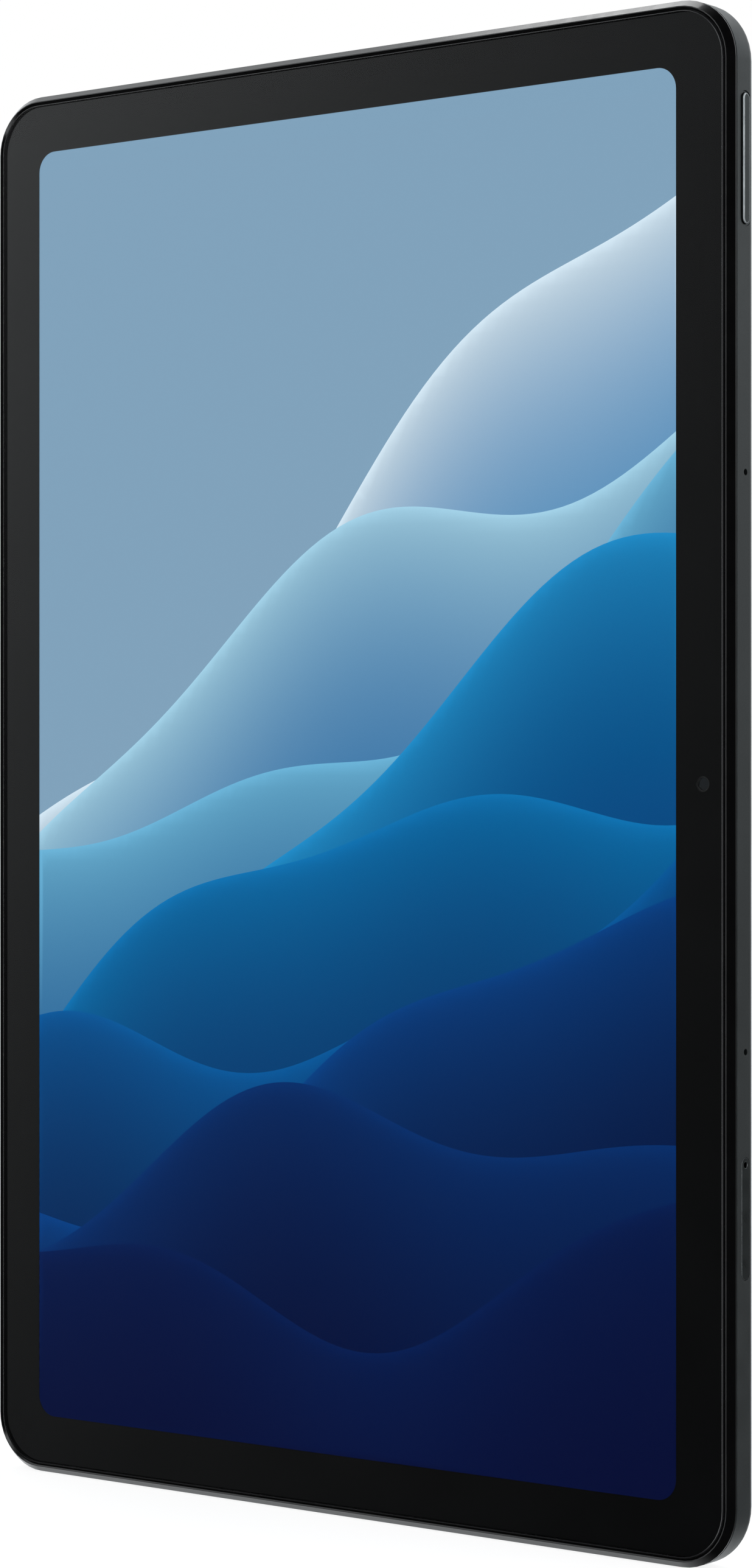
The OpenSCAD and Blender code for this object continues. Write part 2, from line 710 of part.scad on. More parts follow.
module sim_tray() color("#3b4041") {
    difference() {
        on_right(face_back_x, half_w, tray_z) stadium(tray_l, face_w);
        on_right(face_back_x - 1, half_w + 1, hole_z) circle(eject_hole_r);
    }
    // neck that the seal sits on
    translate([face_back_x - 1.1, side_depth - 0.75 - body_t / 2, carrier_z - 8])
        cube([1.1, 1.5, 16]);
    // carrier with a window for each card
    difference() {
        translate([carrier_end_x, side_depth - tray_t / 2 - body_t / 2, carrier_z - carrier_w / 2])
            cube([face_back_x - 1.1 - carrier_end_x, tray_t, carrier_w]);
        translate([53.1, -body_t, carrier_z - 7.6]) cube([11.2, 2 * body_t, 15.2]);
        translate([65.6, -body_t, carrier_z - 6.25]) cube([8.9, 2 * body_t, 12.5]);
    }
}

module tray_seal() color("#c0392b")
    translate([face_back_x - 0.75, side_depth - body_t / 2, carrier_z]) difference() {
        translate([0, -0.95, -8.2]) cube([0.5, 1.9, 16.4]);
        translate([-1, -0.75, -8]) cube([3, 1.5, 16]);
    }

reader_x0 = 47.6;
reader_x1 = face_back_x - 2.2;
reader_z0 = carrier_z - carrier_w / 2 - 1.3;
reader_z1 = hole_z + 1.3;

// Plastic floor of the card reader with its guide rails, the lever's pivot and contacts.
module sim_reader_base() color("#26282a") {
    len = reader_x1 - reader_x0;
    mid_x = (reader_x0 + reader_x1) / 2;
    mid_z = (reader_z0 + reader_z1) / 2;
    block(mid_x, mid_z, len, reader_z1 - reader_z0, side_depth + 0.6, board_d);
    for (z = [reader_z0 + 0.35, reader_z1 - 0.35])
        block(mid_x, z, len, 0.7, side_depth - 0.7, side_depth + 0.6);
    block(63, hole_z - 0.82, 16, 0.28, side_depth - 0.7, side_depth + 0.6);
    disc(lever_x, lever_z, 0.5, side_depth - 0.7, side_depth + 0.6);
}

module sim_reader_cover() color("#b9bec1") {
    mid_x = (reader_x0 + reader_x1) / 2;
    mid_z = (reader_z0 + reader_z1) / 2;
    block(mid_x, mid_z, reader_x1 - reader_x0, reader_z1 - reader_z0,
        side_depth - 0.9, side_depth - 0.7);
    for (z = [reader_z0 - 0.1, reader_z1 + 0.1])
        block(mid_x, z, reader_x1 - reader_x0, 0.2, side_depth - 0.9, board_d - 0.1);
}

module eject_rod() color("#d0d4d6") {
    rod_end_x = lever_x + lever_w / 2 + 0.1;
    rod_l = face_back_x - 0.3 - rod_end_x;
    translate([rod_end_x, side_depth - 0.4 - body_t / 2, hole_z - 0.45]) cube([rod_l, 0.8, 0.9]);
}

module eject_lever() color("#d0d4d6") difference() {
    union() {
        slab(side_depth - 0.3, side_depth + 0.3) translate([lever_x, 0])
            translate([0, (hole_z + 0.5 + lever_z - 6.5) / 2])
                square([lever_w, hole_z + 0.5 - lever_z + 6.5], center = true);
        disc(lever_x, lever_z, 1.1, side_depth - 0.3, side_depth + 0.3);
    }
    disc(lever_x, lever_z, 0.55, side_depth - 1, side_depth + 1);
}

// Printed aerials on thin film, stuck inside the plastic strip.
module antenna_sheets() color("#c08a3e") {
    for (p = [[68, 70, 14, 30], [68, -100, 14, 34]])
        block(p[0], p[1], p[2], p[3], panel_in - 0.15, panel_in - 0.02);
    for (p = [[68, 50], [68, -80]])
        block(p[0], p[1], 3, 11, panel_in - 0.15, panel_in - 0.02);
}

// Soft pads that carry heat from the shields to the plate.
module thermal_pads() color("#8fa3b5") for (z = [31, -10])
    block(59, z, 12, 14, plate_back_d, board_d - 1.5);

// ---------------------------------------------------------------- nodes

rear_housing();
antenna_cover();
front_frame();
cover_glass();
border_print();
glass_tape();
optical_adhesive();
lcd_panel();
display_flex();
backlight_films();
light_guide();
led_strip();
reflector_sheet();
backlight_tray();
mid_plate();
plate_screws();
battery_cell_left();
battery_cell_right();
battery_board();
battery_tape();
battery_lead();
main_board();
board_chips();
shield_cans();
board_standoffs();
board_screws();
sub_board();
board_link_flex();
usb_c_shell();
usb_c_tongue();
top_speaker();
top_speaker_driver();
bottom_speaker();
bottom_speaker_driver();
speaker_meshes();
rear_camera();
rear_camera_ring();
rear_camera_glass();
flash_led();
flash_lens();
front_camera();
front_camera_lens();
microphones();
mic_boots();
power_button();
power_switch();
power_bracket();
volume_rocker();
volume_switches();
volume_bracket();
key_flex();
sim_tray();
tray_seal();
sim_reader_base();
sim_reader_cover();
eject_rod();
eject_lever();
antenna_sheets();
thermal_pads();
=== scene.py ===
"""Looks of the tablet computer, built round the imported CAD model.

The order is camera, stage and light, then the materials of the CAD nodes, and last the
pieces that need finer geometry or edges than those nodes have.
"""

import json
import math

import bmesh
import bpy
from mathutils import Matrix, Vector, geometry


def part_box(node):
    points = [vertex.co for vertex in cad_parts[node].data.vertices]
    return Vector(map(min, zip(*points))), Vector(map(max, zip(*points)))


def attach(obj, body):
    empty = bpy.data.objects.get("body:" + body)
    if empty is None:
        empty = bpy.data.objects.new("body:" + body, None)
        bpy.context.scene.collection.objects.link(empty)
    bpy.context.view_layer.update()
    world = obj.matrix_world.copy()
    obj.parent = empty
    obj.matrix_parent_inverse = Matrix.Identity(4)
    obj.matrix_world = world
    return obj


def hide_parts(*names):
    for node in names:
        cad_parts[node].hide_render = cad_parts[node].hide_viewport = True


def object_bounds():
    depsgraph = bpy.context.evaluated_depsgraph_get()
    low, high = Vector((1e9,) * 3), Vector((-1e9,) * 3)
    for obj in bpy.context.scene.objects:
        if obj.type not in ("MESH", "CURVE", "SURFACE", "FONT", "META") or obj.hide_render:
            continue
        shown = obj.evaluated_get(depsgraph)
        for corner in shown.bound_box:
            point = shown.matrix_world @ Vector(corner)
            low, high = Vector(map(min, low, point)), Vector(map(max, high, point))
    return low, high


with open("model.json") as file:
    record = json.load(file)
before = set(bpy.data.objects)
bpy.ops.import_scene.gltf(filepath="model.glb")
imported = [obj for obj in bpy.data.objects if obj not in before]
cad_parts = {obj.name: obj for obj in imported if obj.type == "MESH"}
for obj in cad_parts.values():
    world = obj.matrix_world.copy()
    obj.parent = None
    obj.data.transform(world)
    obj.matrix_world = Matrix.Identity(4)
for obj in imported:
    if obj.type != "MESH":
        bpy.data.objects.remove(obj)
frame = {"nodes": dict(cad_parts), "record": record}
cad_box = [list(corner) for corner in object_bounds()]

MM = 0.001
nodes = frame["nodes"]
slot_of = {row["node"]: row["material_slot"] for row in frame["record"]["subparts"]}
panel_low, panel_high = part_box("lcd_panel")
glass_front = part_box("cover_glass")[0].y
print_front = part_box("border_print")[0].y
lip_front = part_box("front_frame")[0].y


# ------------------------------------------------------------------ camera and stage

CAMERA_AZIMUTH = math.radians(37.5)
CAMERA_DISTANCE = 0.6361
CAMERA_SIDESTEP = 0.00676
CAMERA_LENS = 86.28


def make_camera():
    """A level camera to the right of the screen, looking along its own azimuth."""
    data = bpy.data.cameras.new("camera")
    data.sensor_width = 36.0
    data.lens = CAMERA_LENS
    camera = bpy.data.objects.new("camera", data)
    forward = Vector((-math.sin(CAMERA_AZIMUTH), math.cos(CAMERA_AZIMUTH), 0.0))
    right = Vector((math.cos(CAMERA_AZIMUTH), math.sin(CAMERA_AZIMUTH), 0.0))
    target = Vector((0.0, glass_front, 0.0))
    camera.location = target - forward * CAMERA_DISTANCE + right * CAMERA_SIDESTEP
    camera.rotation_mode = "QUATERNION"
    camera.rotation_quaternion = forward.to_track_quat("-Z", "Y")
    bpy.context.scene.collection.objects.link(camera)
    bpy.context.scene.camera = camera


class Shader:
    """A node tree being filled. Numbers that don't vary go straight onto a node's socket."""

    def __init__(self, tree):
        self.tree = tree
        self.tree.nodes.clear()

    def node(self, kind, inputs=None, **settings):
        made = self.tree.nodes.new(kind)
        for name, value in settings.items():
            setattr(made, name, value)
        for name, value in (inputs or {}).items():
            if isinstance(value, bpy.types.NodeSocket):
                self.tree.links.new(value, made.inputs[name])
            else:
                made.inputs[name].default_value = value
        return made

    def maths(self, operation, *values):
        inputs = dict(enumerate(values))
        return self.node("ShaderNodeMath", inputs, operation=operation).outputs[0]

    def along(self, vector, direction):
        """How far a vector socket reaches along a fixed direction."""
        inputs = {0: vector, 1: direction}
        return self.node("ShaderNodeVectorMath", inputs, operation="DOT_PRODUCT").outputs["Value"]

    def ramp(self, value, start, end, low=0.0, high=1.0):
        """A smooth step from low to high as value goes from start to end."""
        inputs = {"Value": value, "From Min": start, "From Max": end, "To Min": low, "To Max": high}
        return self.node("ShaderNodeMapRange", inputs, interpolation_type="SMOOTHSTEP").outputs[0]

    def mix(self, factor, first, second):
        """A mix of two colours, each a socket or a tuple."""
        made = self.node("ShaderNodeMix", data_type="RGBA")
        for index, value in ((0, factor), (6, first), (7, second)):
            if isinstance(value, bpy.types.NodeSocket):
                self.tree.links.new(value, made.inputs[index])
            else:
                made.inputs[index].default_value = value
        return made.outputs[2]


SIDE_GLOW_MOST = 1.1
STRIP_STRENGTH = 4.5
SOFTBOX_STRENGTH = 2.4
ROOM_FLOOR = 0.02
LOW_RIGHT_DIMMING = 0.86


def make_world():
    """A pale studio. The camera sees plain white. What the object mirrors is brighter behind it,
    above it and far to its left, with a strip light on the right and a softbox in front."""
    world = bpy.data.worlds.new("studio")
    bpy.context.scene.world = world
    world.use_nodes = True
    s = Shader(world.node_tree)
    direction = s.node("ShaderNodeTexCoord").outputs["Generated"]
    # left of the screen: brightens steeply towards the left and upwards
    slope = s.maths("ADD", s.along(direction, (-7.65, 0.0, 4.54)), -6.25)
    left = s.maths("MINIMUM", s.maths("EXPONENT", slope), SIDE_GLOW_MOST)
    # behind the object, dimmer low on the right
    across = s.along(direction, (1.0, 0.0, 0.0))
    back = s.along(direction, (0.0, 1.0, 0.0))
    height = s.along(direction, (0.0, 0.0, 1.0))
    behind = s.ramp(back, -0.15, 0.35)
    low_right = s.maths("MULTIPLY", s.ramp(across, 0.0, 0.4), s.ramp(height, 0.27, -0.1))
    dimming = s.maths("MULTIPLY", low_right, LOW_RIGHT_DIMMING)
    behind = s.maths("MULTIPLY", behind, s.maths("SUBTRACT", 1.0, dimming))
    above = s.maths("MULTIPLY", s.ramp(height, 0.35, 0.9), s.ramp(back, -0.05, 0.3))
    # a tall strip light straight to the right, which draws the lit lines along the edges
    strip = s.maths("MULTIPLY", s.ramp(back, -0.05, 0.03), s.ramp(back, 0.4, 0.3))
    strip = s.maths("MULTIPLY", s.maths("MULTIPLY", strip, s.ramp(across, 0.5, 0.7)), STRIP_STRENGTH)
    glow = s.maths("MAXIMUM", s.maths("MAXIMUM", left, behind), s.maths("MAXIMUM", above, ROOM_FLOOR))
    # a softbox in front, mirrored by edges that face between the front and the right
    softbox = s.maths("MULTIPLY", s.ramp(across, -0.12, 0.02), s.ramp(across, 0.62, 0.5))
    softbox = s.maths("MULTIPLY", softbox, s.maths("MULTIPLY", s.ramp(back, -0.5, -0.7), SOFTBOX_STRENGTH))
    glow = s.maths("MAXIMUM", glow, s.maths("MAXIMUM", strip, softbox))
    seen = s.node("ShaderNodeBackground", {"Color": (1.0, 1.0, 1.0, 1.0), "Strength": 1.0})
    lit = s.node("ShaderNodeBackground", {"Color": (0.97, 1.0, 1.02, 1.0), "Strength": glow})
    choice = s.node("ShaderNodeMixShader")
    s.tree.links.new(s.node("ShaderNodeLightPath").outputs["Is Camera Ray"], choice.inputs[0])
    s.tree.links.new(lit.outputs[0], choice.inputs[1])
    s.tree.links.new(seen.outputs[0], choice.inputs[2])
    output = s.node("ShaderNodeOutputWorld")
    s.tree.links.new(choice.outputs[0], output.inputs["Surface"])
    world.cycles.sampling_method = "MANUAL"
    world.cycles.sample_map_resolution = 1024


def make_floor():
    """A plain pale floor under the bottom edge."""
    mesh = bpy.data.meshes.new("floor")
    reach = 6.0
    corners = [(-reach, -reach), (reach, -reach), (reach, reach), (-reach, reach)]
    mesh.from_pydata([(x, y, cad_box[0][2]) for x, y in corners], [], [(0, 1, 2, 3)])
    floor = bpy.data.objects.new("floor", mesh)
    bpy.context.scene.collection.objects.link(floor)
    material = bpy.data.materials.new("floor")
    material.use_nodes = True
    s = Shader(material.node_tree)
    matt = s.node("ShaderNodeBsdfDiffuse", {"Color": (0.25, 0.25, 0.25, 1.0)})
    glow = s.node("ShaderNodeEmission", {"Color": (1.0, 1.0, 1.0, 1.0), "Strength": 0.86})
    both = s.node("ShaderNodeAddShader", {0: matt.outputs[0], 1: glow.outputs[0]})
    s.node("ShaderNodeOutputMaterial", {"Surface": both.outputs[0]})
    mesh.materials.append(material)
    floor.visible_glossy = False


def make_light(name, place, target, size, power):
    data = bpy.data.lights.new(name, "AREA")
    data.shape = "RECTANGLE"
    data.size, data.size_y = size
    data.energy = power
    light = bpy.data.objects.new(name, data)
    light.location = place
    light.rotation_mode = "QUATERNION"
    light.rotation_quaternion = (Vector(target) - Vector(place)).to_track_quat("-Z", "Y")
    light.visible_camera = False
    bpy.context.scene.collection.objects.link(light)


def make_stage():
    make_world()
    make_floor()
    make_light("overhead", (-0.3, 0.5, 1.6), (0.0, 0.0, 0.0), (1.2, 0.8), 9.0)
    view = bpy.context.scene.view_settings
    view.view_transform = "Standard"
    view.look = "None"


# ------------------------------------------------------------------ materials

class Surface(Shader):
    """A material built on a Principled shader, with its detail placed in the object's frame."""

    def __init__(self, name, **constants):
        self.material = bpy.data.materials.new(name)
        self.material.use_nodes = True
        super().__init__(self.material.node_tree)
        self.place = self.node("ShaderNodeTexCoord").outputs["Object"]
        self.shader = self.node("ShaderNodeBsdfPrincipled", constants)
        self.output = self.node("ShaderNodeOutputMaterial", {"Surface": self.shader.outputs[0]})

    def link(self, name, socket):
        self.tree.links.new(socket, self.shader.inputs[name])

    def noise(self, size_mm, detail=2.0, stretch=(1.0, 1.0, 1.0), roughness=0.5):
        """Noise with features of about size_mm, longer along an axis whose stretch is over 1."""
        scale = tuple(1.0 / (size_mm * MM * s) for s in stretch)
        inputs = {"Vector": self.place, "Scale": scale}
        scaled = self.node("ShaderNodeMapping", inputs).outputs["Vector"]
        inputs = {"Vector": scaled, "Scale": 1.0, "Detail": detail, "Roughness": roughness}
        return self.node("ShaderNodeTexNoise", inputs).outputs["Fac"]

    def cells(self, size_mm, feature="F1", output="Distance"):
        inputs = {"Vector": self.place, "Scale": 1.0 / (size_mm * MM)}
        return self.node("ShaderNodeTexVoronoi", inputs, feature=feature).outputs[output]

    def vary_colour(self, colour, amount, factor):
        """Base colour that swings by amount either way with factor."""
        darker = tuple(c * (1.0 - amount) for c in colour) + (1.0,)
        lighter = tuple(min(1.0, c * (1.0 + amount)) for c in colour) + (1.0,)
        mixed = self.mix(self.ramp(factor, 0.3, 0.7), darker, lighter)
        self.link("Base Color", mixed)
        return mixed

    def vary_roughness(self, low, high, factor):
        self.link("Roughness", self.ramp(factor, 0.3, 0.7, low, high))

    def bump(self, height, depth_mm, strength=1.0, normal=None):
        inputs = {"Height": height, "Distance": depth_mm * MM, "Strength": strength}
        if normal is not None:
            inputs["Normal"] = normal
        made = self.node("ShaderNodeBump", inputs).outputs["Normal"]
        self.link("Normal", made)
        return made


def anodised(name, colour, rough=0.38):
    """Bead-blasted and dyed aluminium: a fine frosted grain with faint clouds in the dye."""
    s = Surface(name, Metallic=1.0)
    s.vary_colour(colour, 0.05, s.noise(22.0))
    s.vary_roughness(rough - 0.04, rough + 0.05, s.noise(3.0, 4.0))
    s.bump(s.noise(0.12, 3.0), 0.0025, 0.4)
    return s.material


def bare_edge_and_highlight(name, colour, rough=0.22):
    """Edge cut back to brighter metal and made lighter still as a painted highlight, with tiny nicks along
    it.
    """
    s = Surface(name, Metallic=1.0)
    s.vary_colour(colour, 0.12, s.noise(2.5, 4.0))
    s.vary_roughness(rough, rough + 0.12, s.noise(0.8, 3.0))
    s.bump(s.noise(0.2, 2.0), 0.002, 0.4)
    return s.material


def painted_plastic(name, colour):
    """Plastic sprayed with metallic paint to match the metal: flakes under a dull clear coat."""
    s = Surface(name, Metallic=0.8)
    s.shader.inputs["Coat Weight"].default_value = 0.15
    s.shader.inputs["Coat Roughness"].default_value = 0.35
    flakes = s.noise(0.15, 1.0)
    s.vary_colour(colour, 0.12, s.maths("MULTIPLY_ADD", flakes, 0.7, s.maths("MULTIPLY", s.noise(30.0), 0.3)))
    s.vary_roughness(0.38, 0.46, s.noise(4.0, 3.0))
    s.bump(s.noise(0.5, 3.0), 0.003, 0.4)
    return s.material


def moulded(name, colour, rough=(0.3, 0.4), grain_mm=0.25, depth_mm=0.003):
    """Moulded plastic with a fine spark texture and slightly uneven gloss."""
    s = Surface(name)
    s.vary_colour(colour, 0.12, s.noise(9.0, 3.0))
    s.vary_roughness(rough[0], rough[1], s.noise(2.0, 4.0))
    s.bump(s.noise(grain_mm, 3.0), depth_mm, 0.7)
    return s.material


def brushed(name, colour, rough=(0.25, 0.4), stretch=(14.0, 1.0, 1.0)):
    """Rolled, brushed or cast metal. Its streaks run along an axis whose stretch is over 1."""
    s = Surface(name, Metallic=1.0)
    streaks = s.noise(0.25, 4.0, stretch)
    s.vary_colour(colour, 0.1, streaks)
    s.vary_roughness(rough[0], rough[1], streaks)
    s.bump(streaks, 0.002, 0.6)
    return s.material


def turned(name, colour):
    """Machined metal with fine streaks that run from front to back."""
    s = Surface(name, Metallic=1.0)
    streaks = s.noise(0.08, 3.0, (1.0, 8.0, 1.0))
    s.vary_colour(colour, 0.08, streaks)
    s.vary_roughness(0.2, 0.32, streaks)
    s.bump(streaks, 0.001, 0.4)
    return s.material


def soft(name, colour, rough=(0.6, 0.78)):
    """Rubber or foam: dull, with a fine skin."""
    s = Surface(name)
    s.vary_colour(colour, 0.15, s.noise(1.5, 4.0))
    s.vary_roughness(rough[0], rough[1], s.noise(0.6, 3.0))
    s.bump(s.noise(0.15, 3.0), 0.01, 0.8)
    return s.material


def clear_glass(name):
    """Polished cover glass with an anti-reflection coating: it mirrors a little at its front,
    and lets everything behind show. Faint finger smears make its gloss uneven."""
    s = Surface(name)
    s.tree.nodes.remove(s.shader)
    smears = s.noise(24.0, 5.0, (1.0, 1.0, 2.2), 0.62)
    rough = s.ramp(smears, 0.5, 0.75, 0.012, 0.05)
    mirror = s.node("ShaderNodeBsdfGlossy", {"Color": (1.0, 1.0, 1.0, 1.0), "Roughness": rough})
    through = s.node("ShaderNodeBsdfTransparent", {"Color": (0.985, 0.99, 0.99, 1.0)})
    shine = s.node("ShaderNodeFresnel", {"IOR": 1.2}).outputs[0]
    outside = s.maths("SUBTRACT", 1.0, s.node("ShaderNodeNewGeometry").outputs["Backfacing"])
    glass = s.node("ShaderNodeMixShader")
    s.tree.links.new(s.maths("MULTIPLY", shine, outside), glass.inputs[0])
    s.tree.links.new(through.outputs[0], glass.inputs[1])
    s.tree.links.new(mirror.outputs[0], glass.inputs[2])
    s.tree.links.new(glass.outputs[0], s.output.inputs["Surface"])
    return s.material


def see_through(name, colour, rough, alpha):
    """Clear bonded layer or light guide."""
    s = Surface(name, Alpha=alpha)
    s.shader.inputs["Specular IOR Level"].default_value = 0.0
    s.vary_colour(colour, 0.05, s.noise(12.0))
    s.vary_roughness(rough, rough + 0.1, s.noise(1.0, 3.0))
    return s.material


def printed_border(name):
    """Glossy black ink behind the glass, with a trace of unevenness from screen printing."""
    s = Surface(name)
    s.vary_colour((0.0012, 0.0012, 0.0013), 0.25, s.noise(16.0, 4.0))
    s.vary_roughness(0.06, 0.1, s.noise(9.0, 3.0))
    s.bump(s.noise(6.0, 2.0), 0.0004, 0.5)
    return s.material


def lit_screen(name):
    """The picture that the panel shows. Its colours are on the mesh's own corners."""
    s = Surface(name)
    picture = s.node("ShaderNodeVertexColor", layer_name="picture").outputs["Color"]
    s.shader.inputs["Base Color"].default_value = (0.001, 0.001, 0.001, 1.0)
    s.shader.inputs["Roughness"].default_value = 0.6
    s.shader.inputs["Specular IOR Level"].default_value = 0.0
    s.shader.inputs["Emission Strength"].default_value = 0.985
    s.link("Emission Color", picture)
    return s.material


def panel_black(name):
    """Black matrix and edges of the panel, round the lit picture."""
    s = Surface(name)
    s.vary_colour((0.004, 0.004, 0.005), 0.3, s.noise(5.0))
    s.vary_roughness(0.2, 0.35, s.noise(1.0))
    return s.material


def circuit_board(name, colour):
    """Green solder mask with tracks under it and tinned pads."""
    s = Surface(name)
    tracks = s.cells(1.6, "DISTANCE_TO_EDGE")
    over_track = s.ramp(tracks, 0.06, 0.02)
    deep = tuple(c * 0.7 for c in colour) + (1.0,)
    light = tuple(c * 1.7 for c in colour) + (1.0,)
    pads = s.ramp(s.cells(1.1), 0.12, 0.09)
    mask = s.mix(over_track, deep, light)
    s.link("Base Color", s.mix(pads, mask, (0.62, 0.55, 0.38, 1.0)))
    s.link("Metallic", s.maths("MULTIPLY", pads, 0.9))
    s.vary_roughness(0.22, 0.38, s.noise(2.0, 3.0))
    s.bump(over_track, 0.03, 0.6)
    return s.material


def flexible_circuit(name, colour):
    """Amber film with copper tracks running along it."""
    s = Surface(name)
    inputs = {"Vector": s.place, "Scale": 500.0, "Distortion": 0.4, "Detail": 1.0}
    tracks = s.node("ShaderNodeTexWave", inputs, bands_direction="X").outputs["Fac"]
    copper = tuple(min(1.0, c * 2.0) for c in colour) + (1.0,)
    s.link("Base Color", s.mix(s.ramp(tracks, 0.45, 0.6), tuple(colour) + (1.0,), copper))
    s.vary_roughness(0.25, 0.4, s.noise(2.0, 3.0))
    s.bump(tracks, 0.01, 0.5)
    return s.material


def foil_pouch(name, colour):
    """Laminated battery foil with soft creases."""
    s = Surface(name, Metallic=0.6)
    s.vary_colour(colour, 0.2, s.noise(8.0, 4.0))
    s.vary_roughness(0.32, 0.5, s.noise(4.0, 4.0))
    s.bump(s.noise(7.0, 5.0, (1.0, 1.0, 2.0), 0.6), 0.12, 0.5)
    return s.material


def woven_mesh(name, colour):
    """Blackened wire mesh: crossing wires with dark gaps."""
    s = Surface(name, Metallic=0.9)
    waves = []
    for direction in ("X", "Y"):
        inputs = {"Vector": s.place, "Scale": 900.0}
        wave = s.node("ShaderNodeTexWave", inputs, bands_direction=direction)
        waves.append(wave.outputs["Fac"])
    wires = s.maths("MAXIMUM", waves[0], waves[1])
    s.link("Base Color", s.mix(s.ramp(wires, 0.3, 0.8), (0.002, 0.002, 0.002, 1.0), tuple(colour) + (1.0,)))
    s.vary_roughness(0.4, 0.55, s.noise(0.5))
    s.bump(wires, 0.05, 0.9)
    return s.material


def coated_lens(name, colour, painted_sheen_colour):
    """Lens glass over a black barrel, with the tinted sheen of its coating painted into its colour towards
    glancing angles.
    """
    s = Surface(name)
    s.shader.inputs["Coat Weight"].default_value = 1.0
    s.shader.inputs["Coat Roughness"].default_value = 0.02
    s.shader.inputs["Coat IOR"].default_value = 1.7
    # painted sheen: the colour turns to the sheen's tint where the lens is seen at a glancing angle
    facing = s.node("ShaderNodeLayerWeight", {"Blend": 0.35}).outputs["Facing"]
    near = tuple(colour) + (1.0,)
    s.link("Base Color", s.mix(s.ramp(facing, 0.1, 0.9), near, tuple(painted_sheen_colour) + (1.0,)))
    s.vary_roughness(0.05, 0.12, s.noise(2.0))
    return s.material


def dark_glass(name):
    """Camera window: nearly clear, slightly smoked."""
    s = Surface(name)
    s.tree.nodes.remove(s.shader)
    rough = s.ramp(s.noise(3.0, 4.0), 0.45, 0.75, 0.01, 0.04)
    mirror = s.node("ShaderNodeBsdfGlossy", {"Color": (1.0, 1.0, 1.0, 1.0), "Roughness": rough})
    through = s.node("ShaderNodeBsdfTransparent", {"Color": (0.72, 0.74, 0.76, 1.0)})
    glass = s.node("ShaderNodeMixShader", {1: through.outputs[0], 2: mirror.outputs[0]})
    outside = s.maths("SUBTRACT", 1.0, s.node("ShaderNodeNewGeometry").outputs["Backfacing"])
    shine = s.node("ShaderNodeFresnel", {"IOR": 1.55}).outputs[0]
    s.tree.links.new(s.maths("MULTIPLY", shine, outside), glass.inputs[0])
    s.tree.links.new(glass.outputs[0], s.output.inputs["Surface"])
    return s.material


def flash_window(name, colour):
    """Frosted flash lens with ring-shaped prisms moulded in it."""
    s = Surface(name)
    low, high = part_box("flash_lens")
    middle = (low + high) / 2
    offset = s.node("ShaderNodeVectorMath", {0: s.place, 1: tuple(middle)}, operation="SUBTRACT")
    flat = s.node("ShaderNodeVectorMath", {0: offset.outputs[0], 1: (1.0, 0.0, 1.0)}, operation="MULTIPLY")
    radius = s.node("ShaderNodeVectorMath", {0: flat.outputs[0]}, operation="LENGTH").outputs["Value"]
    rings = s.maths("SINE", s.maths("MULTIPLY", radius, 2.0 * math.pi / (0.35 * MM)))
    s.vary_colour(colour, 0.06, s.noise(1.5))
    s.vary_roughness(0.25, 0.4, s.noise(0.8))
    s.bump(rings, 0.05, 0.8)
    return s.material


def chip_package(name, colour):
    """Moulded chip packages, dull and faintly speckled."""
    return moulded(name, colour, (0.5, 0.65), 0.1, 0.004)


def slot_materials():
    """One material for each slot of the record."""
    colour = {m["slot"]: tuple(m["base_color"][:3]) for m in frame["record"]["materials"]}
    shell = (0.034, 0.039, 0.040)
    made = {
        "anodised_shell": anodised("anodised_shell", shell),
        "antenna_plastic": painted_plastic("antenna_plastic", shell),
        "anodised_key": anodised("anodised_key", (0.046, 0.053, 0.054), 0.3),
        "frame_plastic": moulded("frame_plastic", (0.0014, 0.0014, 0.0015), (0.1, 0.16), 0.4, 0.001),
        "cover_glass": clear_glass("cover_glass"),
        "black_print": printed_border("black_print"),
        "display_panel": lit_screen("display_panel"),
        "camera_ring_metal": turned("camera_ring_metal", (0.09, 0.1, 0.102)),
        "camera_glass": dark_glass("camera_glass"),
        # the lens glass has a blue sheen painted into its colour at glancing angles
        "lens_glass": coated_lens("lens_glass", (0.004, 0.006, 0.012), (0.03, 0.05, 0.12)),
        "camera_black": moulded("camera_black", colour["camera_black"], (0.35, 0.5), 0.1, 0.002),
        "flash_diffuser": flash_window("flash_diffuser", colour["flash_diffuser"]),
        "fine_mesh": woven_mesh("fine_mesh", (0.03, 0.03, 0.03)),
        "cell_foil": foil_pouch("cell_foil", colour["cell_foil"]),
        "circuit_board": circuit_board("circuit_board", colour["circuit_board"]),
        "flex_circuit": flexible_circuit("flex_circuit", colour["flex_circuit"]),
        "chip_black": chip_package("chip_black", colour["chip_black"]),
        "clear_adhesive": see_through("clear_adhesive", (0.1, 0.1, 0.1), 0.1, 0.02),
        "clear_guide": see_through("clear_guide", colour["clear_guide"], 0.15, 0.4),
        "standoff_brass": turned("standoff_brass", colour["standoff_brass"]),
        "screw_steel": turned("screw_steel", colour["screw_steel"]),
    }
    for name in ("pressed_steel", "shield_tin", "port_steel", "switch_metal", "speaker_metal"):
        made[name] = brushed(name, colour[name])
    made["cast_plate"] = brushed("cast_plate", colour["cast_plate"], (0.4, 0.55), (1.0, 1.0, 1.0))
    for name in ("black_rubber", "grey_rubber", "red_rubber"):
        made[name] = soft(name, colour[name])
    for name in ("black_tape", "white_film", "led_white", "port_plastic", "speaker_plastic"):
        made[name] = moulded(name, colour[name], (0.4, 0.55))
    return made


# ------------------------------------------------------------------ pieces with finer edges

def add_piece(name, mesh, body="casing", replaced=()):
    piece = bpy.data.objects.new(name, mesh)
    bpy.context.scene.collection.objects.link(piece)
    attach(piece, body)
    if replaced:
        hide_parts(*replaced)
    return piece


